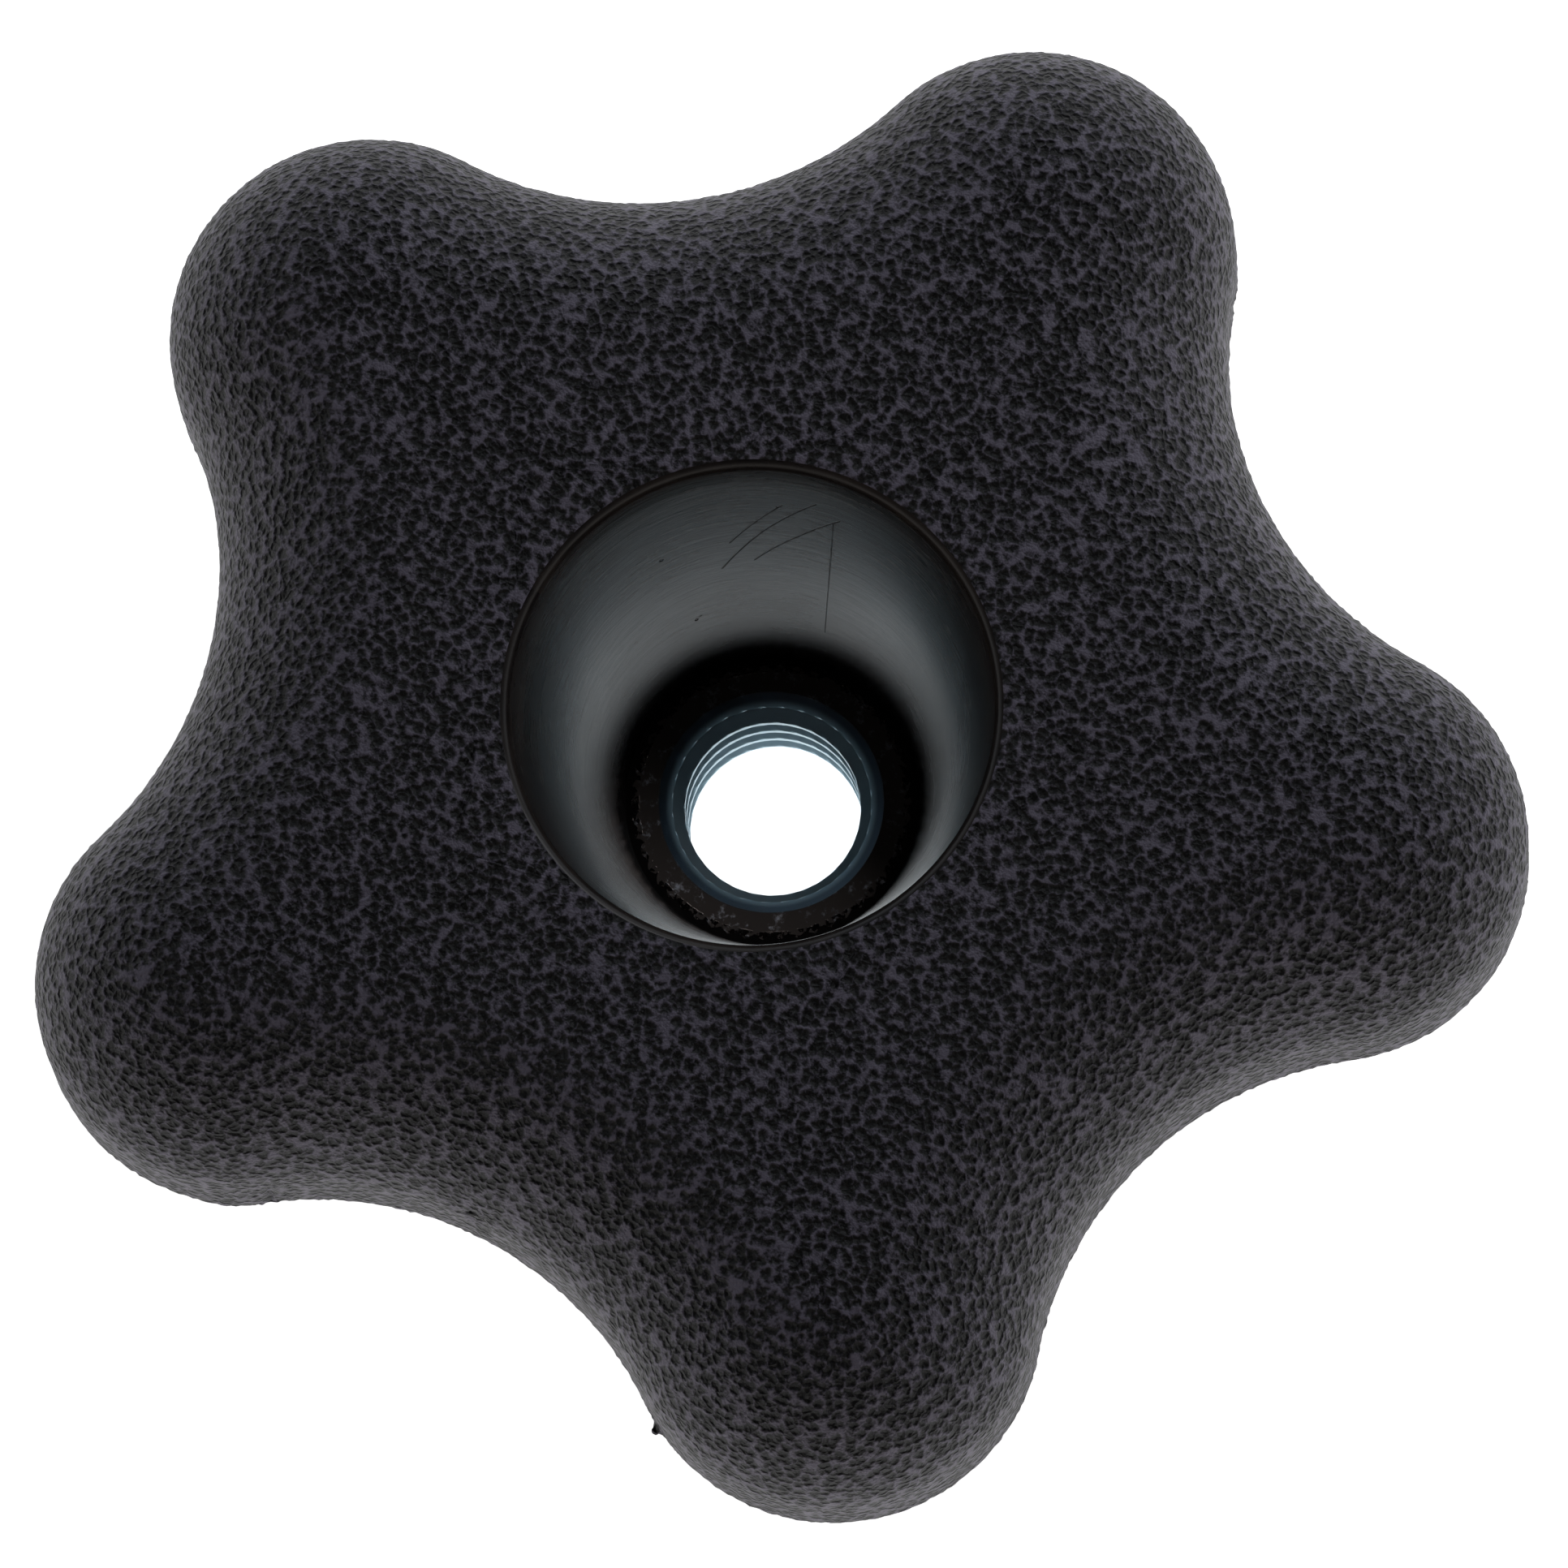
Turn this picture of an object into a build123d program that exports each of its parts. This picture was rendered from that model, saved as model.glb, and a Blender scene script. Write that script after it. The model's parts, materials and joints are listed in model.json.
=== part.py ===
"""Five-lobe star knob with a through hole: a moulded plastic body and a knurled threaded insert.

Millimetres, +Z up the axis. The origin is the centre of the seat face, where the hub and the
insert meet the clamped part. A bolt or stud comes in from below and can run out at the top.
"""

import math
import os

from build123d import *

# ---- star outline at the parting line ----
lobe_count = 5
tip_radius = 28.0           # axis to the end of a lobe
lobe_end_radius = 7.45      # rounding of a lobe's end
waist_radius = 20.2         # axis to the floor of a valley
first_lobe_angle = 90.0     # one lobe points along +Y

# ---- heights above the seat face ----
lobe_base_height = 7.2      # underside of the lobes
parting_height = 14.4       # widest section, where the two mould halves meet
top_height = 23.9           # flat top face

# ---- mould drafts and roundings of the head ----
upper_draft = 2.0           # degrees, wall above the parting line
lower_draft = 12.0          # degrees, wall below it
top_rounding = 6.6          # soft shoulder between the wall and the top face
top_bands = 8               # ruled bands that draw the shoulder's arc
base_rounding = 2.4         # edge of the lobes' underside
base_bands = 4
rounding_share = 0.95       # most of a lobe's end radius that a rounding may take

# ---- hub under the lobes ----
hub_radius = 9.2            # at the seat face
hub_draft = 2.0             # degrees
hub_root_flare = 1.2        # sloping root between the hub and the lobes' underside
hub_edge_chamfer = 0.5

# ---- insert: a knurled, threaded steel bush moulded into the hub ----
insert_length = 6.6
knurl_tip_radius = 5.32
knurl_depth = 0.28
knurl_count = 50
groove_width = 1.3          # plastic flows into this ring and locks the insert
groove_depth = 0.7
thread_minor_radius = 3.265  # 5/16-18 UNC
thread_major_radius = 3.969
countersink_margin = 0.2    # countersink mouth beyond the thread's major radius
countersink_angle = 90.0    # degrees, included
seat_proud = 0.15           # the insert stands this far below the moulded hub face

# ---- tapered recess in the top ----
recess_mouth_radius = 8.65
recess_floor_margin = 0.08  # floor of the recess beyond the knurl's tips
recess_lip_chamfer = 0.4

# ---- places that follow from the sizes above ----
hub_face_height = seat_proud
recess_floor_height = insert_length
recess_floor_radius = knurl_tip_radius + recess_floor_margin
countersink_radius = thread_major_radius + countersink_margin
countersink_depth = (countersink_radius - thread_minor_radius) / math.tan(math.radians(countersink_angle / 2))


def star_outline(height, inset):
    """The closed star at one height, moved inwards in parallel: lobe and valley arcs that run on smoothly."""
    half_step = math.pi / lobe_count
    lobe_distance = tip_radius - lobe_end_radius
    rise = lobe_end_radius - waist_radius
    valley_distance = (lobe_distance**2 - rise**2) / (2 * (rise + lobe_distance * math.cos(half_step)))
    lobe_centre = Vector(lobe_distance, 0)
    valley_direction = Vector(math.cos(half_step), math.sin(half_step))

    # the arcs meet on the line between their centres, whatever the inset
    towards_valley = (valley_direction * valley_distance - lobe_centre).normalized()
    meeting = lobe_centre + towards_valley * (lobe_end_radius - inset)
    mirrored_meeting = Vector(meeting.X, -meeting.Y)
    next_meeting = mirrored_meeting.rotate(Axis.Z, 360 / lobe_count)
    lobe_arc = ThreePointArc(mirrored_meeting, Vector(tip_radius - inset, 0), meeting)
    valley_arc = ThreePointArc(meeting, valley_direction * (waist_radius - inset), next_meeting)

    arcs = []
    for lobe in range(lobe_count):
        turn = first_lobe_angle + lobe * 360 / lobe_count
        arcs += [lobe_arc.rotate(Axis.Z, turn), valley_arc.rotate(Axis.Z, turn)]
    return Pos(0, 0, height) * make_face(Wire(arcs))


def rounded_end(face_height, draft, rounding, bands):
    """(inset, height) pairs that turn the drafted wall onto a flat face, above or below the parting line."""
    rounding = min(rounding, rounding_share * lobe_end_radius)
    rise = face_height - parting_height
    up = math.copysign(1, rise)
    centre_inset = abs(rise) * math.tan(math.radians(draft)) + rounding * math.tan(math.radians(90 - draft) / 2)
    centre_height = face_height - up * rounding
    pairs = []
    for band in range(bands + 1):
        angle = math.radians(draft + (90 - draft) * band / bands)
        pairs.append((centre_inset - rounding * math.cos(angle), centre_height + up * rounding * math.sin(angle)))
    return pairs


def lobed_head():
    """The star, skinned through parallel outlines that follow both mould halves' drafts and roundings."""
    top = rounded_end(top_height, upper_draft, top_rounding, top_bands)
    base = rounded_end(lobe_base_height, lower_draft, base_rounding, base_bands)
    section = [*reversed(base), (0, parting_height), *top]
    return loft([star_outline(height, inset) for inset, height in section], ruled=True)


def turned(*profile):
    """Solid of revolution round the axis from (radius, height) corners."""
    return revolve(Plane.XZ * make_face(Polyline(*profile, close=True)), axis=Axis.Z)


def hub():
    """Tapered boss that carries the insert; its root flares into the lobes' underside."""
    root_radius = hub_radius + (lobe_base_height - hub_face_height) * math.tan(math.radians(hub_draft))
    return turned(
        (0, hub_face_height),
        (hub_radius - hub_edge_chamfer, hub_face_height),
        (hub_radius, hub_face_height + hub_edge_chamfer),
        (root_radius, lobe_base_height - hub_root_flare),
        (root_radius + hub_root_flare, lobe_base_height),
        (root_radius + hub_root_flare, parting_height),
        (0, parting_height),
    )


def top_recess():
    """Tapered pocket from the top face down to the insert, with a chamfered lip."""
    spread = (recess_mouth_radius - recess_floor_radius) / (top_height - recess_floor_height)
    lip_radius = recess_mouth_radius + recess_lip_chamfer
    return turned(
        (0, recess_floor_height),
        (recess_floor_radius, recess_floor_height),
        (recess_mouth_radius - recess_lip_chamfer * spread, top_height - recess_lip_chamfer),
        (lip_radius, top_height),
        (lip_radius, top_height + recess_lip_chamfer),
        (0, top_height + recess_lip_chamfer),
    )


def insert_blank():
    """Outside of the insert: straight knurl with a retaining groove round its middle."""
    root_radius = knurl_tip_radius - knurl_depth
    step = 360 / knurl_count
    outline = []
    for tooth in range(knurl_count):
        for radius, angle in ((knurl_tip_radius, tooth * step), (root_radius, (tooth + 0.5) * step)):
            turn = math.radians(angle)
            outline.append((radius * math.cos(turn), radius * math.sin(turn)))
    blank = extrude(make_face(Polyline(*outline, close=True)), amount=insert_length)
    groove_floor = knurl_tip_radius - groove_depth
    ring = Cylinder(knurl_tip_radius + groove_depth, groove_width) - Cylinder(groove_floor, groove_width)
    return blank - Pos(0, 0, insert_length / 2) * ring


def threaded_insert():
    """The bush: knurled blank, bored to the thread's minor size and countersunk at both ends."""
    bore = Cylinder(thread_minor_radius, 2 * insert_length)
    mouth = Cone(thread_minor_radius, countersink_radius, countersink_depth)
    top_mouth = Pos(0, 0, insert_length - countersink_depth / 2) * mouth
    seat_mouth = Pos(0, 0, countersink_depth / 2) * Rot(180, 0, 0) * mouth
    return insert_blank() - bore - top_mouth - seat_mouth


def knob_body():
    """The moulding: lobed head and hub, with the recess and the insert's seat taken out."""
    moulding = lobed_head() + hub()
    return moulding - top_recess() - insert_blank()


os.makedirs("parts", exist_ok=True)
export_step(knob_body(), "parts/knob_body.step")
export_step(threaded_insert(), "parts/threaded_insert.step")
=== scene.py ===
# %% [markdown]
# # A five-lobe star knob
# A hand knob of this kind is two pieces: a black plastic moulding that the fingers grip, and a
# zinc-plated steel bush, knurled outside and threaded inside, that the plastic was moulded round.
# The lesson rebuilds both as fine meshes over a measured frame, gives each its own finish, and
# sets them on a pale light table.

# %% Open the measured frame
import json
import math

import bmesh
import bpy
from mathutils import Matrix, Vector, noise


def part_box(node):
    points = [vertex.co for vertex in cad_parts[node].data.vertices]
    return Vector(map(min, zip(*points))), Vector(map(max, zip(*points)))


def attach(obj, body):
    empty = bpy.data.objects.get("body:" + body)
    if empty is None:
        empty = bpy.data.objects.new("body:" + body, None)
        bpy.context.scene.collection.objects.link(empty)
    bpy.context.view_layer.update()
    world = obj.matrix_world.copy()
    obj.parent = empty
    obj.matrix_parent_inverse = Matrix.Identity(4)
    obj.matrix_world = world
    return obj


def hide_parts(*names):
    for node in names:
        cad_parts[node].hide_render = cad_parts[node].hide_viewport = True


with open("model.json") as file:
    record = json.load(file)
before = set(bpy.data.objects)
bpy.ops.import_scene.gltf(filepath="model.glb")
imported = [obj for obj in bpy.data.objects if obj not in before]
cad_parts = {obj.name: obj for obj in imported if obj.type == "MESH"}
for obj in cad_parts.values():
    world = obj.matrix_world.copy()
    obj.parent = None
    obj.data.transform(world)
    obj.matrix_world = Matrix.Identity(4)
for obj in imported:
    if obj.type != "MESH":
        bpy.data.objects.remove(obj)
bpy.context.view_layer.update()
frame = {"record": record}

MM = 0.001

# %% [markdown]
# ## Sizes
# What the frame can tell is read from it: the overall height, the insert's length and radius, and
# the thread's minor radius. The rest are the driving dimensions of the moulding, in metres.

# %% Read and name the sizes
body_low, body_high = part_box("knob_body")
_, insert_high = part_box("threaded_insert")
mounts = {mount["name"]: mount for mount in frame["record"]["mounts"]}

top = body_high.z
hub_face = body_low.z
insert_top = insert_high.z
knurl_tip = insert_high.x
thread_minor = mounts["thread"]["dims"]["r_mm"] * MM

lobe_count = 5
tip_radius = 28.0 * MM
lobe_end = 7.45 * MM
waist = 20.2 * MM
parting = 14.4 * MM
lobe_base = 7.2 * MM
upper_draft = math.radians(2.0)
lower_draft = math.radians(12.0)
shoulder = 6.6 * MM
base_edge = 2.4 * MM
hub_radius = 9.2 * MM
hub_draft = math.radians(2.0)
hub_root = 1.6 * MM
hub_edge = 0.5 * MM
mouth_radius = 8.65 * MM
lip = 0.55 * MM
floor_gap = 0.08 * MM
seat_margin = 0.04 * MM
weld = 0.002 * MM

knurl_depth = 0.28 * MM
knurl_count = 50
groove_width = 1.3 * MM
groove_depth = 0.7 * MM
thread_major = 3.969 * MM
thread_pitch = 25.4 / 18 * MM
countersink = thread_major + 0.2 * MM
print("insert radius and length, mm:", round(knurl_tip / MM, 3), round(insert_top / MM, 3))

# %% [markdown]
# ## Working with operators
# Most steps below use the operators behind Blender's menus. They act on whatever is selected, so
# every step starts by clearing the selection, and a small helper keeps that habit in one place.

# %% Helpers for selection and edit mode
def only(piece):
    """Leave one object selected and active, in object mode."""
    if bpy.context.object and bpy.context.object.mode != "OBJECT":
        bpy.ops.object.mode_set(mode="OBJECT")
    bpy.ops.object.select_all(action="DESELECT")
    piece.select_set(True)
    bpy.context.view_layer.objects.active = piece


def edit(piece, select="DESELECT"):
    """Open one object in edit mode with all of it, or none, selected."""
    only(piece)
    bpy.ops.object.mode_set(mode="EDIT")
    bpy.ops.mesh.select_mode(type="VERT")
    bpy.ops.mesh.select_all(action=select)


def close_edit(piece):
    bpy.ops.object.mode_set(mode="OBJECT")
    only(piece)


def count(piece):
    return sum(len(face.vertices) - 2 for face in piece.data.polygons)


# %% [markdown]
# ## The star outline
# A lobe is a round end, a valley is a hollow arc, and the two touch where the line between their
# centres crosses both. Drawing the outline once as evenly spaced points, each with its outward
# direction, makes every other height easy: an inset ring is each point moved inwards.

# %% Points round the star
def star_points(steps):
    """Evenly spaced (point, outward direction) pairs round the outline, from the lobe on +Y."""
    half = math.pi / lobe_count
    lobe_centre = tip_radius - lobe_end
    rise = lobe_end - waist
    valley_centre = (lobe_centre**2 - rise**2) / (2 * (rise + lobe_centre * math.cos(half)))
    valley_radius = valley_centre - waist
    across = Vector((valley_centre * math.cos(half) - lobe_centre, valley_centre * math.sin(half)))
    lobe_sweep = math.atan2(across.y, across.x)
    valley_sweep = lobe_sweep - half
    lobe_run = lobe_sweep * lobe_end
    valley_run = valley_sweep * valley_radius
    sector = 2 * (lobe_run + valley_run)

    points = []
    for step in range(steps):
        travel = step / steps * lobe_count * sector
        lobe, along = divmod(travel + lobe_run, sector)
        along -= lobe_run
        turn = Matrix.Rotation(math.pi / 2 + lobe * 2 * half, 2)
        if along <= lobe_run:
            angle = along / lobe_end
            normal = Vector((math.cos(angle), math.sin(angle)))
            point = Vector((lobe_centre, 0)) + normal * lobe_end
        else:
            angle = half + math.pi + (lobe_run + valley_run - along) / valley_radius
            normal = -Vector((math.cos(angle), math.sin(angle)))
            point = Vector((math.cos(half), math.sin(half))) * valley_centre - normal * valley_radius
        points.append((turn @ point, turn @ normal))
    return points


ring_steps = 1000
star = star_points(ring_steps)
reaches = [point.length / MM for point, normal in star]
print("outline radii, mm:", round(min(reaches), 2), "to", round(max(reaches), 2))

# %% [markdown]
# ## Stations
# The moulding is one closed skin. Walking along its section, from the insert up the recess, over
# the lip, out across the top, round the shoulder and back underneath to the hub, each station is
# either a circle of some radius or the star with some inset, and in between it is a mix.

# %% Describe the section as stations
def circle(radius, height):
    return (0.0, radius, 0.0, height)


def lobed(inset, height):
    return (1.0, 0.0, inset, height)


def between(ring, rim, share, height):
    """A ring part of the way from a circle of radius ring to the star with inset rim."""
    return (share, ring, rim, height)


def arc(centre, height, radius, start, end, steps):
    """(distance, height) pairs along an arc of the section, angles in radians from level."""
    angles = [start + (end - start) * step / steps for step in range(steps + 1)]
    return [(centre + radius * math.cos(a), height + radius * math.sin(a)) for a in angles]


def ring_of(station):
    """The places of one station's points, in order round the axis."""
    share, radius, inset, height = station
    places = []
    for point, normal in star:
        rim = point - normal * inset
        level = rim * share + rim.normalized() * radius * (1 - share)
        places.append(Vector((level.x, level.y, height)))
    return places


recess_floor = knurl_tip + floor_gap
seat_radius = knurl_tip - knurl_depth - seat_margin
under_face = 0.02 * MM
quarter = math.pi / 2
wall_steps = 13
flat_steps = 5
lower_steps = 4

taper = math.atan((mouth_radius - recess_floor) / (top - insert_top))
lip_reach = lip * math.tan((quarter - taper) / 2)
shoulder_corner = (top - parting) * math.tan(upper_draft)
shoulder_reach = shoulder * math.tan((quarter - upper_draft) / 2)
base_corner = (parting - lobe_base) * math.tan(lower_draft)
base_reach = base_edge * math.tan((quarter - lower_draft) / 2)
root_radius = hub_radius + (lobe_base - hub_face) * math.tan(hub_draft)
root_reach = hub_root * math.tan((quarter - hub_draft) / 2)
hub_reach = hub_edge * math.tan((quarter + hub_draft) / 2)

stations = [circle(seat_radius, insert_top - under_face), circle(recess_floor, insert_top - under_face)]
wall_top = (mouth_radius - lip_reach * math.sin(taper), top - lip_reach * math.cos(taper))
for step in range(1, wall_steps):
    share = step / wall_steps
    height = insert_top + (wall_top[1] - insert_top) * share
    stations.append(circle(recess_floor + (wall_top[0] - recess_floor) * share, height))
lip_arc = arc(mouth_radius + lip_reach, top - lip, lip, math.pi - taper, quarter, 7)
stations += [circle(*place) for place in lip_arc]

flat_ring = mouth_radius + lip_reach
flat_rim = shoulder_corner + shoulder_reach
stations += [between(flat_ring, flat_rim, step / flat_steps, top) for step in range(1, flat_steps)]
shoulder_arc = arc(-flat_rim, top - shoulder, shoulder, quarter, upper_draft, 20)
stations += [lobed(-distance, height) for distance, height in shoulder_arc]
for above in (1.6 * MM, 0.3 * MM, 0.0):
    stations.append(lobed(above * math.tan(upper_draft), parting + above))
for step in range(1, lower_steps):
    share = step / lower_steps
    stations.append(lobed(base_corner * share, parting - (parting - lobe_base) * share))
base_arc = arc(-base_corner - base_reach, lobe_base + base_edge, base_edge, -lower_draft, -quarter, 7)
stations += [lobed(-distance, height) for distance, height in base_arc]

under_rim = base_corner + base_reach
under_ring = root_radius + root_reach
for step in range(1, flat_steps):
    stations.append(between(under_ring, under_rim, 1 - step / flat_steps, lobe_base))
root_arc = arc(under_ring, lobe_base - hub_root, hub_root, quarter, math.pi - hub_draft, 7)
stations += [circle(*place) for place in root_arc]
hub_arc = arc(hub_radius - hub_reach, hub_face + hub_edge, hub_edge, hub_draft, -quarter, 6)
stations += [circle(*place) for place in hub_arc]
stations += [circle(seat_radius, hub_face)]
print(len(stations), "stations round the section")

# %% [markdown]
# ## Growing the skin
# A circle is added with as many points as the outline has, laid on the first station, and then
# extruded once for each station that follows, as one would extrude a ring of edges by hand and
# move it. Each new ring is sorted by its angle from its first place, so point follows point.
# The last ring is bridged back to the first, which closes the skin.

# %% Extrude the moulding ring by ring
def settle(piece, places):
    """Move the selected ring onto the given places, matched by their order round the axis."""
    start = math.atan2(places[0].y, places[0].x)
    mesh = bmesh.from_edit_mesh(piece.data)
    ring = [vertex for vertex in mesh.verts if vertex.select]
    ring.sort(key=lambda vertex: (math.atan2(vertex.co.y, vertex.co.x) - start + 1e-4) % math.tau)
    for vertex, place in zip(ring, places):
        vertex.co = place
    bmesh.update_edit_mesh(piece.data)


def grow(name, rings):
    """A closed skin through a list of rings, made by repeated extrusion."""
    bpy.ops.object.select_all(action="DESELECT")
    bpy.ops.mesh.primitive_circle_add(vertices=len(rings[0]), radius=seat_radius)
    piece = bpy.context.object
    piece.name = piece.data.name = name
    edit(piece, "SELECT")
    settle(piece, rings[0])
    for ring in rings[1:]:
        bpy.ops.mesh.extrude_edges_move()
        settle(piece, ring)
    bpy.ops.mesh.select_all(action="DESELECT")
    bpy.ops.mesh.select_non_manifold()
    bpy.ops.mesh.bridge_edge_loops()
    bpy.ops.mesh.select_all(action="SELECT")
    bpy.ops.mesh.normals_make_consistent(inside=False)
    close_edit(piece)
    return piece


knob = grow("knob_moulding", [ring_of(station) for station in stations])
print("moulding:", count(knob), "triangles")

# %% [markdown]
# ## Marks of the mould
# A part this plain is made believable by its small faults. The gate, where plastic entered the
# mould, broke off below the surface in one valley, and a crumb of flash stands on the parting
# line beside the next lobe. A crease climbs the wall of the lobe on the other side, beside a low
# swelling, and there is a faint nick across the knob from it. Each is a soft push on the skin
# around one spot.

# %% Push in the gate mark and pull out the flash
outer_wall = hub_radius * 1.5


def push(piece, angle, height, amount, wide, tall):
    """Move the outer wall along its level normal round one spot, fading as a bell curve."""
    direction = math.radians(angle)
    normals = [vertex.normal.copy() for vertex in piece.data.vertices]
    for vertex, normal in zip(piece.data.vertices, normals):
        place = vertex.co
        if place.xy.length < outer_wall or abs(place.z - height) > 4 * tall:
            continue
        turn = math.atan2(place.y, place.x) - direction
        sideways = math.remainder(turn, math.tau) * place.xy.length
        fade = math.exp(-((sideways / wide) ** 2) - ((place.z - height) / tall) ** 2)
        if fade > 0.01:
            outward = Vector((normal.x, normal.y, 0))
            vertex.co += outward.normalized() * amount * fade


def roughen(piece, above, amount):
    """Lift and sink the outer skin's points a little, so that its outline is as pebbled as its face."""
    normals = [vertex.normal.copy() for vertex in piece.data.vertices]
    for vertex, normal in zip(piece.data.vertices, normals):
        if vertex.co.z > above and vertex.co.xy.length > mouth_radius + 2 * lip:
            vertex.co += normal * amount * noise.noise(vertex.co / (0.17 * MM))


def densify(piece, angle, height, wide, tall):
    """Cut the faces round one spot smaller, so that a small mark has points to shape it."""
    edit(piece)
    bpy.ops.mesh.select_mode(type="FACE")
    mesh = bmesh.from_edit_mesh(piece.data)
    direction = math.radians(angle)
    for face in mesh.faces:
        centre = face.calc_center_median()
        turn = math.remainder(math.atan2(centre.y, centre.x) - direction, math.tau)
        near = abs(turn * centre.xy.length) < wide and abs(centre.z - height) < tall
        face.select_set(near and centre.xy.length > outer_wall)
    bmesh.update_edit_mesh(piece.data)
    bpy.ops.mesh.subdivide(number_cuts=5)
    close_edit(piece)


gate_angle, gate_height = 268.6, parting + 3.5 * MM
flash_angle, flash_height = 290.2, parting
crease_angle, crease_height = 251.2, parting + 1.2 * MM
nick_angle, nick_height = 72.9, parting
densify(knob, gate_angle, gate_height, 1.1 * MM, 1.1 * MM)
densify(knob, flash_angle, flash_height, 0.9 * MM, 0.9 * MM)
densify(knob, crease_angle, crease_height, 0.4 * MM, 1.8 * MM)
densify(knob, nick_angle, nick_height, 0.4 * MM, 0.8 * MM)
roughen(knob, lobe_base, 0.05 * MM)
push(knob, gate_angle, gate_height, -0.50 * MM, 0.34 * MM, 0.40 * MM)
push(knob, gate_angle + 1.2, gate_height - 0.6 * MM, -0.35 * MM, 0.24 * MM, 0.30 * MM)
push(knob, flash_angle, flash_height, 0.28 * MM, 0.13 * MM, 0.18 * MM)
push(knob, crease_angle, crease_height, -0.16 * MM, 0.10 * MM, 1.1 * MM)
push(knob, crease_angle - 2.2, parting, 0.10 * MM, 0.8 * MM, 1.6 * MM)
push(knob, nick_angle, nick_height, -0.07 * MM, 0.14 * MM, 0.5 * MM)
print("moulding with its marks:", count(knob), "triangles")

# %% [markdown]
# ## The insert's thread
# A screw thread is a strip wound up a helix. A flat grid is rolled into a tube here: one way
# round it is the angle, the other is the height plus one pitch a turn, so the rows themselves
# climb like the thread does and its crests stay sharp. Where the countersinks cut it away, the
# wall is simply no closer to the axis than their cones.

# %% Roll a grid into the threaded wall
around = 4 * knurl_count
rows_per_turn = 32
turns = math.ceil(insert_top / thread_pitch) + 2


def thread_radius(phase):
    """Wall radius at a share of one pitch: flat crest, 60 degree flanks, flat root."""
    crest, flank = 0.25, 0.3125
    depth = thread_major - thread_minor
    if phase < crest:
        return thread_minor
    if phase < crest + flank:
        return thread_minor + depth * (phase - crest) / flank
    if phase < 1 - flank:
        return thread_major
    return thread_minor + depth * (1 - phase) / flank


def cone_radius(height):
    """Radius of whichever 45 degree countersink is nearer."""
    inside = min(height, insert_top - height)
    return countersink - inside


bpy.ops.object.select_all(action="DESELECT")
bpy.ops.mesh.primitive_grid_add(x_subdivisions=around, y_subdivisions=rows_per_turn * turns, size=2.0)
bush = bpy.context.object
bush.name = bush.data.name = "insert_bush"
for vertex in bush.data.vertices:
    across, along = (vertex.co.x + 1) / 2, (vertex.co.y + 1) / 2
    rise = along * turns * thread_pitch + across * thread_pitch
    height = min(max(rise - thread_pitch * 1.5, 0.0), insert_top)
    radius = max(thread_radius(rise / thread_pitch % 1), cone_radius(height))
    angle = across * math.tau
    vertex.co = Vector((radius * math.cos(angle), radius * math.sin(angle), height))
edit(bush, "SELECT")
bpy.ops.mesh.remove_doubles(threshold=weld)
close_edit(bush)
print("threaded wall:", count(bush), "triangles")

# %% [markdown]
# ## The insert's knurl
# The outside of the bush is rolled with straight teeth, so that it cannot turn in the plastic,
# and has a groove round its middle, so that it cannot pull out. It grows ring by ring from the
# upper face, down over the teeth and through the groove, to the lower face.

# %% Grow the knurled outside and join the faces
def toothed(radius, bite, height):
    """A ring of the knurl: pointed teeth of the given depth, four points to a tooth."""
    places = []
    for step in range(around):
        angle = step / around * math.tau
        tooth = (1.0, 0.55, 0.0, 0.55)[step % 4]
        reach = radius - bite * (1 - tooth)
        places.append(Vector((reach * math.cos(angle), reach * math.sin(angle), height)))
    return places


edge = 0.12 * MM
groove_low = (insert_top - groove_width) / 2
groove_high = (insert_top + groove_width) / 2
groove_floor = knurl_tip - groove_depth
outside = [
    (countersink, 0.0, insert_top),
    (knurl_tip - edge, knurl_depth * 0.6, insert_top),
    (knurl_tip, knurl_depth, insert_top - edge),
    (knurl_tip, knurl_depth, groove_high),
    (groove_floor, 0.0, groove_high),
    (groove_floor, 0.0, groove_low),
    (knurl_tip, knurl_depth, groove_low),
    (knurl_tip, knurl_depth, edge),
    (knurl_tip - edge, knurl_depth * 0.6, 0.0),
    (countersink, 0.0, 0.0),
]
bpy.ops.object.select_all(action="DESELECT")
bpy.ops.mesh.primitive_circle_add(vertices=around, radius=countersink)
sleeve = bpy.context.object
edit(sleeve, "SELECT")
settle(sleeve, toothed(*outside[0]))
for ring in outside[1:]:
    bpy.ops.mesh.extrude_edges_move()
    settle(sleeve, toothed(*ring))
close_edit(sleeve)

only(bush)
sleeve.select_set(True)
bpy.ops.object.join()
edit(bush, "SELECT")
bpy.ops.mesh.remove_doubles(threshold=weld)
bpy.ops.mesh.normals_make_consistent(inside=False)
close_edit(bush)
print("insert:", count(bush), "triangles")

# %% [markdown]
# ## Smooth shading
# Both meshes are fine enough that only their shading needs smoothing. Edges sharper than the
# given angle stay crisp: the knurl's teeth, the thread's crests and the rim of the seat.

# %% Shade by angle
for piece, limit in ((knob, 40), (bush, 28)):
    only(piece)
    bpy.ops.object.shade_smooth_by_angle(angle=math.radians(limit))
    print(piece.name, "shaded, edges over", limit, "degrees stay sharp")

# %% [markdown]
# ## Writing shader maths
# A material's node tree is a formula drawn as boxes. The small class below wraps one socket, so
# that the formula can be typed instead: adding or multiplying two sockets adds the Math node that
# does it. One method of the finish makes every other kind of node.

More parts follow.
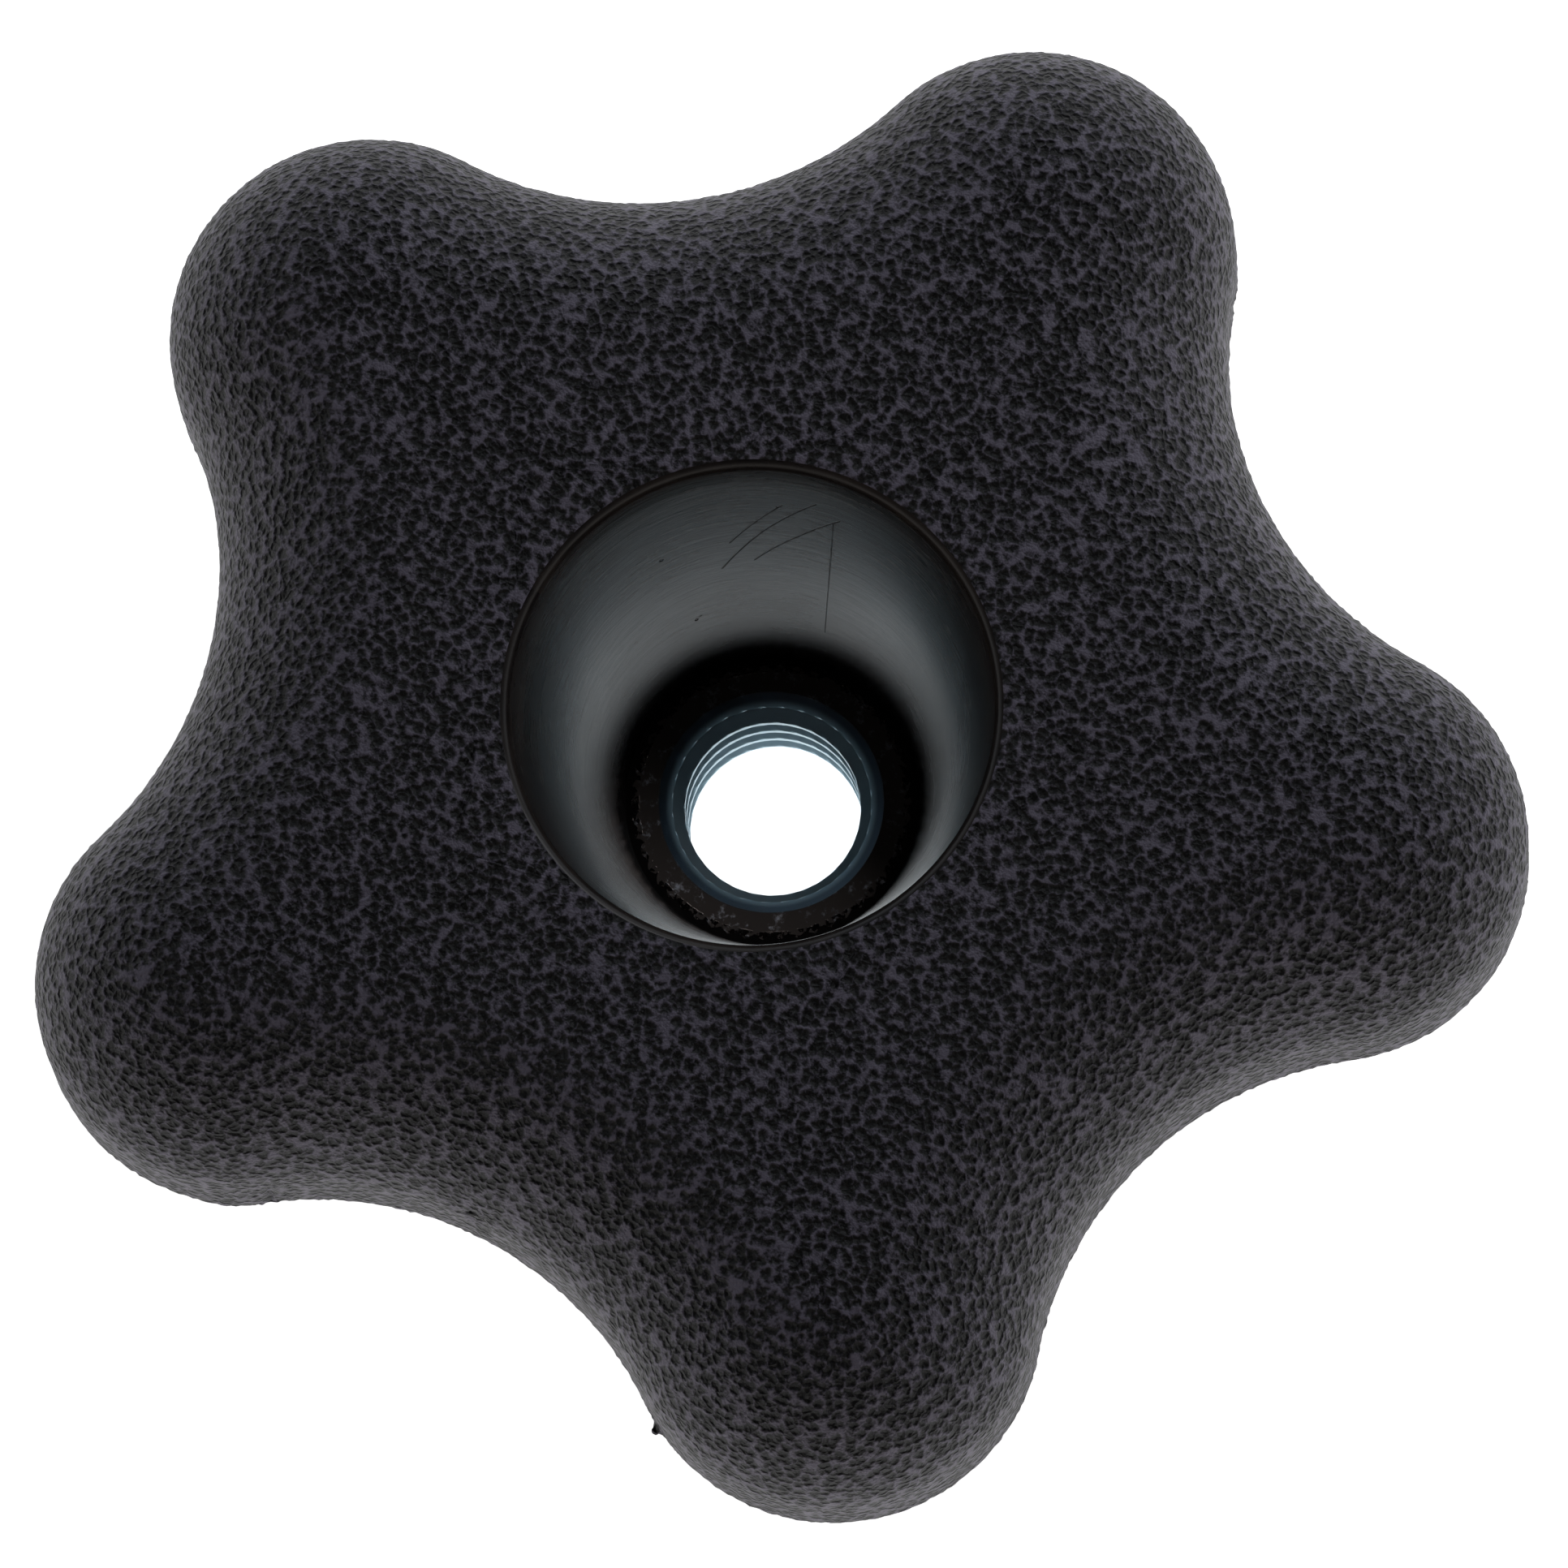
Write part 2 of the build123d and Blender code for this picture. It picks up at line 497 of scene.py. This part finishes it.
# %% A socket that does arithmetic, and a finish that makes nodes
class Value:
    """One output socket of a node tree, with arithmetic."""

    def __init__(self, finish, socket):
        self.finish, self.socket = finish, socket

    def maths(self, operation, *others):
        return self.finish.node("ShaderNodeMath", {"operation": operation}, dict(enumerate((self, *others))))

    def __add__(self, other):
        return self.maths("ADD", other)

    __radd__ = __add__

    def __mul__(self, other):
        return self.maths("MULTIPLY", other)

    __rmul__ = __mul__

    def __sub__(self, other):
        return self.maths("SUBTRACT", other)

    def __rsub__(self, other):
        return self.finish.node("ShaderNodeMath", {"operation": "SUBTRACT"}, {0: other, 1: self})

    def ramp(self, low, high):
        """0 below low, 1 above high, smooth in between."""
        settings = {"interpolation_type": "SMOOTHSTEP"}
        sockets = {"Value": self, "From Min": low, "From Max": high}
        return self.finish.node("ShaderNodeMapRange", settings, sockets)


class Finish:
    """A material and its nodes."""

    def __init__(self, name):
        self.material = bpy.data.materials.new(name)
        self.material.use_nodes = True
        self.tree = self.material.node_tree
        self.shader = self.tree.nodes["Principled BSDF"]

    def node(self, kind, settings, sockets, output=0):
        """Add a node: its settings first, then its sockets' values or links."""
        made = self.tree.nodes.new(kind)
        for key, value in settings.items():
            setattr(made, key, value)
        for key, value in sockets.items():
            self.feed(made.inputs[key], value)
        return Value(self, made.outputs[output])

    def feed(self, socket, value):
        if isinstance(value, Value):
            self.tree.links.new(value.socket, socket)
        else:
            socket.default_value = value

    def set(self, **sockets):
        """Feed the Principled shader; a double underscore stands for a space in a socket's name."""
        for key, value in sockets.items():
            self.feed(self.shader.inputs[key.replace("__", " ")], value)

    def place(self):
        return self.node("ShaderNodeTexCoord", {}, {}, "Object")

    def noise(self, where, scale, detail=2.0, rough=0.5, output="Fac"):
        sockets = {"Vector": where, "Scale": scale, "Detail": detail, "Roughness": rough}
        return self.node("ShaderNodeTexNoise", {}, sockets, output)

    def blend(self, share, first, second):
        """A colour that goes from first to second as share goes from 0 to 1."""
        made = self.tree.nodes.new("ShaderNodeMix")
        made.data_type = "RGBA"
        self.feed(made.inputs["Factor"], share)
        self.feed(made.inputs[6], first)
        self.feed(made.inputs[7], second)
        return Value(self, made.outputs[2])


print("finish helpers ready")

# %% [markdown]
# ## Pebbled plastic
# The mould's outside was etched, which leaves a net of low ridges round small pits, about a third
# of a millimetre apart. A Voronoi texture gives the distance to the nearest of many scattered
# points: pits at the points, ridges between them. Its lookup is nudged by noise, so that the
# cells are not too even, and finer noise breaks up the ridges. Painted shade and sheen are in the
# tint: pits near black, ridges a light grey-violet. Round the gate a painted shade stands in for the
# pit's shadow, so the tint goes to black there.

# %% Make the grain
def outside_gate_shade(finish, where):
    """0 where the gate mark's hollow is painted black as shade, going to 1 on the plastic round it."""
    direction = math.radians(gate_angle + 0.4)
    level = (waist - 0.3 * MM) * Vector((math.cos(direction), math.sin(direction)))
    gate_shade_spot = Vector((level.x, level.y, gate_height - 0.2 * MM))
    away = finish.node("ShaderNodeVectorMath", {"operation": "DISTANCE"}, {0: where, 1: gate_shade_spot}, "Value")
    return away.ramp(0.42 * MM, 0.66 * MM)


def pebbled_plastic():
    grain = Finish("pebbled_black_plastic")
    where = grain.place()
    drift = grain.noise(where, 2400.0, 1.0, output="Color")
    nudge = grain.node("ShaderNodeVectorMath", {"operation": "SUBTRACT"}, {0: drift, 1: (0.5, 0.5, 0.5)})
    shove = grain.node("ShaderNodeVectorMath", {"operation": "SCALE"}, {0: nudge, "Scale": 0.0003})
    warped = grain.node("ShaderNodeVectorMath", {"operation": "ADD"}, {0: where, 1: shove})
    sockets = {"Vector": warped, "Scale": 2900.0}
    cells = grain.node("ShaderNodeTexVoronoi", {"feature": "F1"}, sockets, "Distance")
    fine = grain.noise(where, 6000.0, 2.0, 0.6)
    hill = cells.ramp(0.0, 0.75)
    height = hill * 0.9 + fine * 0.7
    bump = grain.node("ShaderNodeBump", {}, {"Height": height, "Distance": 0.00013, "Strength": 1.0})
    # The grain's pits and ridges are real, but their tones carry painted shade and sheen: pits tinted near
    # black, ridges a light grey-violet.
    light = (cells * 0.9 + fine * 0.9).ramp(0.80, 1.25)
    tint = grain.blend(light, (0.0004, 0.0003, 0.0005, 1), (0.115, 0.104, 0.138, 1))
    # Painted shade: the gate pit's hollow is tinted black, standing in for its shadow.
    tint = grain.blend(outside_gate_shade(grain, where), (0.0004, 0.0003, 0.0004, 1), tint)
    grain.set(Base__Color=tint, Roughness=0.40 + fine * 0.25, Normal=bump)
    grain.set(Specular__IOR__Level=0.25)
    return grain.material


# %% [markdown]
# ## Polished plastic
# The recess was formed by a turned and polished core pin, so its wall is glossy, with faint rings
# from the turning and a few scratches. The wall is unrolled into distance round it and height.
# The rings are noise on that sheet, with its lookup squeezed the long way, so streaks run round.

# %% Make the recess finish
def on_wall(degrees, millimetres):
    """A place on the unrolled recess wall: distance round it, and height."""
    return Vector((math.radians(degrees) * (mouth_radius - lip), millimetres * MM, 0.0))


scratches = (
    (on_wall(130.5, 15.3), on_wall(117.6, 18.2), on_wall(103.3, 21.2)),
    (on_wall(120.7, 15.7), on_wall(107.6, 18.1), on_wall(96.7, 20.4)),
    (on_wall(127.0, 17.4), on_wall(112.0, 20.6)),
)
hairline = (on_wall(98.4, 20.0), on_wall(98.4, 10.0))
spots = (
    (on_wall(146.7, 17.8), 0.11 * MM),
    (on_wall(142.4, 11.6), 0.10 * MM),
    (on_wall(140.6, 11.8), 0.07 * MM),
    (on_wall(113.2, 20.4), 0.08 * MM),
    (on_wall(-161.1, 8.7), 0.09 * MM),
)


def stroke(finish, wall, first, last, width):
    """1 along a line between two places on the wall, fading to 0 at the given width."""
    span = last - first
    apart = finish.node("ShaderNodeVectorMath", {"operation": "SUBTRACT"}, {0: wall, 1: first})
    along = 0.0
    if span.length > 0:
        dot = finish.node("ShaderNodeVectorMath", {"operation": "DOT_PRODUCT"}, {0: apart, 1: span}, "Value")
        along = finish.node("ShaderNodeClamp", {}, {"Value": dot * (1 / span.length_squared)})
    step = finish.node("ShaderNodeVectorMath", {"operation": "SCALE"}, {0: span, "Scale": along})
    gap = finish.node("ShaderNodeVectorMath", {"operation": "SUBTRACT"}, {0: apart, 1: step})
    away = finish.node("ShaderNodeVectorMath", {"operation": "LENGTH"}, {0: gap}, "Value")
    return 1 - away.ramp(0.3 * width, width)


def polished_plastic():
    gloss = Finish("polished_black_plastic")
    where = gloss.place()
    parts = gloss.tree.nodes.new("ShaderNodeSeparateXYZ")
    gloss.feed(parts.inputs[0], where)
    east, north, height = (Value(gloss, parts.outputs[axis]) for axis in "XYZ")
    turn = gloss.node("ShaderNodeMath", {"operation": "ARCTAN2"}, {0: north, 1: east})
    wall = gloss.node("ShaderNodeCombineXYZ", {}, {0: turn * (mouth_radius - lip), 1: height})
    smear = gloss.noise(where, 180.0, 3.0)
    streak = gloss.node("ShaderNodeVectorMath", {"operation": "MULTIPLY"}, {0: wall, 1: (0.12, 1.0, 1.0)})
    rings = gloss.noise(streak, 3800.0, 4.0, 0.7)
    bands = gloss.noise(streak, 700.0, 3.0, 0.6)

    marks = 0.0
    for trail in scratches:
        for first, last in zip(trail, trail[1:]):
            marks = stroke(gloss, wall, first, last, 0.045 * MM) + marks
    marks = stroke(gloss, wall, *hairline, 0.03 * MM) * 0.5 + marks
    specks = 0.0
    for spot, size in spots:
        specks = stroke(gloss, wall, spot, spot, size) + specks

    relief = rings * 0.35 - marks * 0.9 - specks * 3.0
    bump = gloss.node("ShaderNodeBump", {}, {"Height": relief, "Distance": 0.00002, "Strength": 1.0})
    haze = (rings * 0.5 + bands * 0.7).ramp(0.35, 0.95)
    tint = gloss.blend(haze, (0.006, 0.0053, 0.0060, 1), (0.040, 0.031, 0.026, 1))
    tint = gloss.blend(specks, tint, (0.001, 0.001, 0.001, 1))
    rough = 0.15 + smear * 0.12 + rings * 0.10 + marks * 0.15
    gloss.set(Base__Color=tint, Roughness=rough, Normal=bump)
    gloss.set(Specular__IOR__Level=0.25)
    return gloss.material


# %% [markdown]
# ## Zinc plating
# Bright zinc is a slightly blue, soft mirror. It is never quite even: handling leaves scuffs, the
# plating's tone drifts and the knurl's rim is chipped. Distance from the axis tells the threaded
# bore, the countersink, the face, with its brown-tinted scuffs, and the rim apart.

# %% Make the zinc
def zinc_plate():
    zinc = Finish("zinc_plated_steel")
    where = zinc.place()
    level = zinc.node("ShaderNodeVectorMath", {"operation": "MULTIPLY"}, {0: where, 1: (1, 1, 0)})
    radius = zinc.node("ShaderNodeVectorMath", {"operation": "LENGTH"}, {0: level}, "Value")
    face = radius.ramp(countersink - 0.05 * MM, countersink + 0.05 * MM)
    bore = 1 - radius.ramp(thread_major - 0.3 * MM, thread_major)
    rim = radius.ramp(knurl_tip - 0.45 * MM, knurl_tip - 0.15 * MM)
    drift = zinc.noise(where, 420.0, 3.0)
    scuff = zinc.noise(where, 2200.0, 5.0, 0.7).ramp(0.54, 0.72)
    chips = zinc.noise(where, 5200.0, 2.0, 0.6).ramp(0.50, 0.62)
    plated = zinc.blend(drift, (0.60, 0.74, 0.80, 1), (0.72, 0.84, 0.90, 1))
    cone = zinc.blend(bore, (0.20, 0.23, 0.28, 1), plated)
    # Patches of the face, where the scuff mask is high, are tinted brown.
    brown_patched_face = zinc.blend(scuff, (0.26, 0.22, 0.20, 1), (0.80, 0.82, 0.90, 1))
    tint = zinc.blend(face, cone, brown_patched_face)
    relief = scuff * 0.3 + chips * rim * 26.0
    bump = zinc.node("ShaderNodeBump", {}, {"Height": relief, "Distance": 0.00001, "Strength": 1.0})
    rough = 0.30 + scuff * 0.15 + bore * 0.22
    zinc.set(Metallic=1 - bore * 0.3, Base__Color=tint, Roughness=rough, Normal=bump)
    return zinc.material


# %% [markdown]
# ## Dressing the pieces
# The moulding carries both plastics: faces inside the recess, up to the start of its lip, take
# the polished one.

# %% Give each face its finish
knob.data.materials.append(pebbled_plastic())
knob.data.materials.append(polished_plastic())
polish_radius = mouth_radius + lip_reach * 0.6
polish_floor = insert_top - 2 * under_face
for face in knob.data.polygons:
    inside = face.center.xy.length < polish_radius and face.center.z > polish_floor
    face.material_index = 1 if inside else 0
bush.data.materials.append(zinc_plate())
print("polished faces:", sum(face.material_index for face in knob.data.polygons))

for piece, node, slot in ((knob, "knob_body", "knob_plastic"), (bush, "threaded_insert", "insert_steel")):
    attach(piece, "root")
    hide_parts(node)

# %% [markdown]
# ## The light table
# The knob rests on a pale table that glows, which is why light comes up through the threaded
# hole. The room is a soft tent of light: bright near the level of the table, dim overhead, warmer
# on one side than on the other. A weak area light stands in for a window.

# %% Lay the table and light the room
bpy.ops.object.select_all(action="DESELECT")
bpy.ops.mesh.primitive_plane_add(size=2.4, location=(0, 0, -0.02 * MM))
table = bpy.context.object
table.name = "light_table"
glow = Finish("glowing_white_table")
glow.set(Base__Color=(0.9, 0.9, 0.9, 1), Roughness=0.8, Emission__Color=(1, 1, 1, 1), Emission__Strength=1.0)
table.data.materials.append(glow.material)

world = bpy.data.worlds.new("tent")
world.use_nodes = True
bpy.context.scene.world = world
nodes, links = world.node_tree.nodes, world.node_tree.links
sky = nodes.new("ShaderNodeTexCoord")
split = nodes.new("ShaderNodeSeparateXYZ")
links.new(sky.outputs["Generated"], split.inputs[0])
fall = nodes.new("ShaderNodeValToRGB")
links.new(split.outputs["Z"], fall.inputs["Fac"])
stops = ((0.0, 1.0), (0.28, 0.68), (0.48, 0.12), (0.70, 0.014), (0.93, 0.006))
while len(fall.color_ramp.elements) < len(stops):
    fall.color_ramp.elements.new(0.5)
for element, (height, light) in zip(fall.color_ramp.elements, stops):
    element.position = height
    element.color = (light, light, light, 1)
links.new(fall.outputs["Color"], nodes["Background"].inputs["Strength"])

towards = nodes.new("ShaderNodeVectorMath")
towards.operation = "DOT_PRODUCT"
towards.inputs[1].default_value = (-0.475, 0.88, 0.0)
links.new(sky.outputs["Generated"], towards.inputs[0])
warmth = nodes.new("ShaderNodeMix")
warmth.data_type = "RGBA"
warmth.inputs[6].default_value = (1.0, 0.94, 0.89, 1)
warmth.inputs[7].default_value = (0.88, 0.94, 1.0, 1)
spread = nodes.new("ShaderNodeMapRange")
spread.inputs["From Min"].default_value = -0.7
spread.inputs["From Max"].default_value = 0.7
links.new(towards.outputs["Value"], spread.inputs["Value"])
links.new(spread.outputs[0], warmth.inputs["Factor"])
links.new(warmth.outputs[2], nodes["Background"].inputs["Color"])

bpy.ops.object.select_all(action="DESELECT")
from_window = Vector((0.0, 1.0, 1.1)).normalized() * 0.2
bpy.ops.object.light_add(type="AREA", location=from_window)
window = bpy.context.object
window.rotation_euler = from_window.to_track_quat("Z", "Y").to_euler()
window.data.size = 0.12
window.data.energy = 0.10
window.data.color = (0.93, 0.95, 1.0)
bpy.context.scene.view_settings.view_transform = "Standard"
print("table and tent ready")

# %% [markdown]
# ## The camera
# The camera looks down on the knob from almost straight above, leaning about twelve degrees off
# its axis, from a third of a metre away through a long lens.

# %% Aim the camera
lean = math.radians(11.83)
swing = math.radians(39.63)
roll = math.radians(11.04)
distance = 360.3 * MM
frame_width = 56.79 * MM
off_centre = Vector((-0.775, 0.907)) * MM

side = Vector((math.cos(swing), math.sin(swing), 0))
away = Vector((-math.sin(swing), math.cos(swing), 0))
rise = away * math.cos(lean) + Vector((0, 0, math.sin(lean)))
back = Vector((0, 0, math.cos(lean))) - away * math.sin(lean)
right = side * math.cos(roll) - rise * math.sin(roll)
up = side * math.sin(roll) + rise * math.cos(roll)

camera_data = bpy.data.cameras.new("camera")
camera_data.sensor_width = 36.0
camera_data.lens = camera_data.sensor_width * distance / frame_width
camera_data.clip_start = 0.01
camera = bpy.data.objects.new("camera", camera_data)
bpy.context.scene.collection.objects.link(camera)
aim = Vector((0, 0, parting)) - right * off_centre.x - up * off_centre.y
facing = Matrix((right, up, back)).transposed().to_4x4()
camera.matrix_world = Matrix.Translation(aim + back * distance) @ facing
bpy.context.scene.camera = camera
print("lens, mm:", round(camera_data.lens, 1))

# %% Update the scene
bpy.context.view_layer.update()
